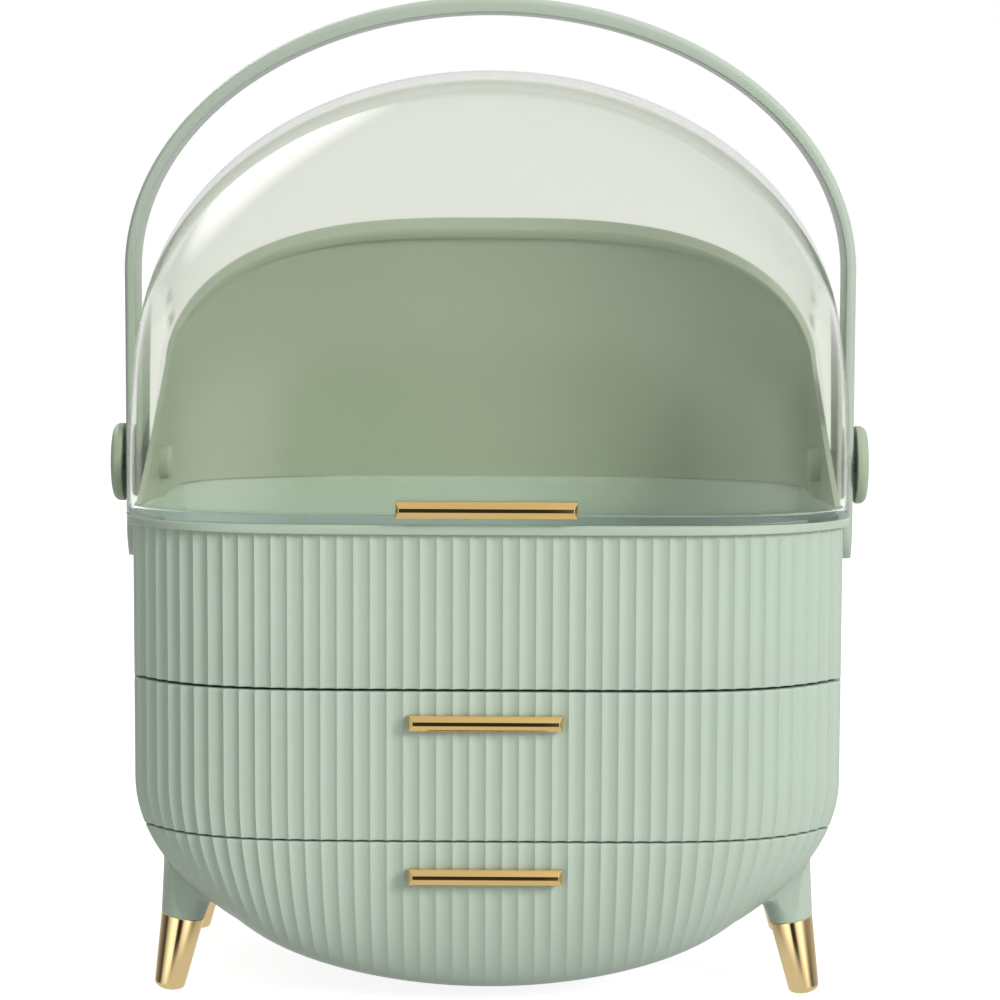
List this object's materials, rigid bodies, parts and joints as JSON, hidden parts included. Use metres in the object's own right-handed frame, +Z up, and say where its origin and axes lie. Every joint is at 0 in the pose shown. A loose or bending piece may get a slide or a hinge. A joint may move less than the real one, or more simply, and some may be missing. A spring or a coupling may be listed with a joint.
{
  "type": "dustproof makeup organizer with drawers",
  "caption": "Egg-shaped fluted makeup organizer with drawers, an open bin under a clear flip cover, a back hood, a carry handle and splayed legs with gold tips.",
  "frame": {"origin": "on the floor under the middle of the whole object, from the cover's pull to the back of the rim band", "axes": "+X to the right as seen from the front, +Y to the back, +Z up"},
  "size_m": [0.3326, 0.223, 0.4275],
  "materials": {
    "sage": "satin moulded sage green plastic",
    "rim_sage": "satin moulded sage green plastic, a little paler",
    "hood_sage": "semi-gloss moulded sage green plastic",
    "handle_sage": "satin moulded sage green plastic",
    "inner_sage": "plain moulded plastic inside",
    "clear": "clear polished acrylic",
    "gold": "polished pale gold plating",
    "screw_steel": "plain steel"
  },
  "bodies": {
    "base": {"casing": "sage", "rear_cover": "sage", "rear_screws": "screw_steel", "bin": "sage", "bin_screws": "screw_steel", "rim_band": "rim_sage", "back_hood": "hood_sage", "hinge_pin_left": "screw_steel", "hinge_pin_right": "screw_steel", "hinge_boss_left": "handle_sage", "hinge_boss_right": "handle_sage", "hinge_washer_left": "handle_sage", "hinge_washer_right": "handle_sage", "hinge_cap_left": "handle_sage", "hinge_cap_right": "handle_sage", "upper_runner_left": "inner_sage", "upper_runner_right": "inner_sage", "lower_runner_left": "inner_sage", "lower_runner_right": "inner_sage", "leg_tip_front_left": "gold", "leg_tip_front_right": "gold", "leg_tip_back_left": "gold", "leg_tip_back_right": "gold"},
    "cover": {"clear_cover": "clear", "cover_pull": "gold", "cover_pull_screws": "screw_steel"},
    "handle": {"carry_handle": "handle_sage"},
    "upper_drawer": {"upper_drawer_front": "sage", "upper_drawer_box": "inner_sage", "upper_drawer_pull": "gold", "upper_pull_screws": "screw_steel"},
    "lower_drawer": {"lower_drawer_front": "sage", "lower_drawer_box": "inner_sage", "lower_drawer_pull": "gold", "lower_pull_screws": "screw_steel"}
  },
  "joints": [
    {"name": "cover_hinge", "type": "hinge", "parent": "base", "child": "cover", "pos_m": [0, 0.004, 0.2233], "axis": [-1, 0, 0], "range_deg": [0, 50]},
    {"name": "handle_hinge", "type": "hinge", "parent": "base", "child": "handle", "pos_m": [0, 0.004, 0.2233], "axis": [-1, 0, 0], "range_deg": [-90, 90]},
    {"name": "upper_drawer_slide", "type": "slide", "parent": "base", "child": "upper_drawer", "axis": [0, -1, 0], "range_m": [0, 0.1]},
    {"name": "lower_drawer_slide", "type": "slide", "parent": "base", "child": "lower_drawer", "axis": [0, -1, 0], "range_m": [0, 0.1]}
  ]
}
